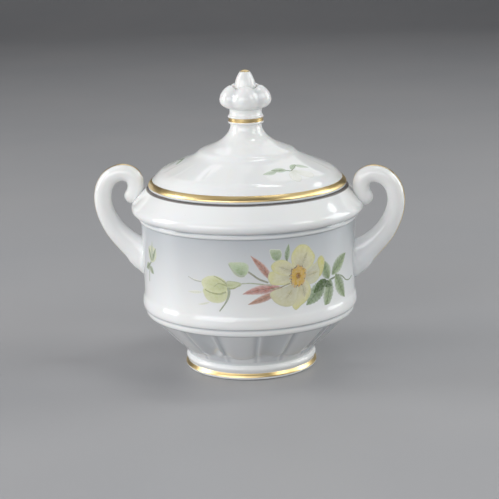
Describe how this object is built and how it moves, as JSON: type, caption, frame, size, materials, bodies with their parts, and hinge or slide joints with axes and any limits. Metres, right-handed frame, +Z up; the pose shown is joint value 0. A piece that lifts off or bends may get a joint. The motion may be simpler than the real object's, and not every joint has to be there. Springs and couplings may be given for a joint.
{
  "type": "sugar bowl",
  "caption": "Covered porcelain sugar bowl with scroll handles on a foot ring, a lift-off lid with a crown finial, gilt edges and printed flowers.",
  "frame": {"origin": "centre of the foot ring's resting face", "axes": "+Z up along the bowl's axis, handles along X, decorated front facing -Y"},
  "size_m": [0.1558, 0.1154, 0.1482],
  "materials": {
    "porcelain": "glossy clear glaze",
    "gold": "polished fired gold"
  },
  "bodies": {
    "bowl": {"bowl_body": "porcelain", "foot_ring": "porcelain", "handle_left": "porcelain", "handle_right": "porcelain", "gilt_foot_band": "gold", "gilt_handle_left": "gold", "gilt_handle_right": "gold"},
    "lid": {"lid_shell": "porcelain", "finial_crown": "porcelain", "finial_bud": "porcelain", "gilt_lid_rim": "gold", "gilt_neck_ring": "gold", "gilt_bud_tip": "gold"}
  },
  "joints": [
    {"name": "lid_lift", "type": "slide", "parent": "bowl", "child": "lid", "axis": [0, 0, 1], "range_m": [0, 0.08]}
  ]
}
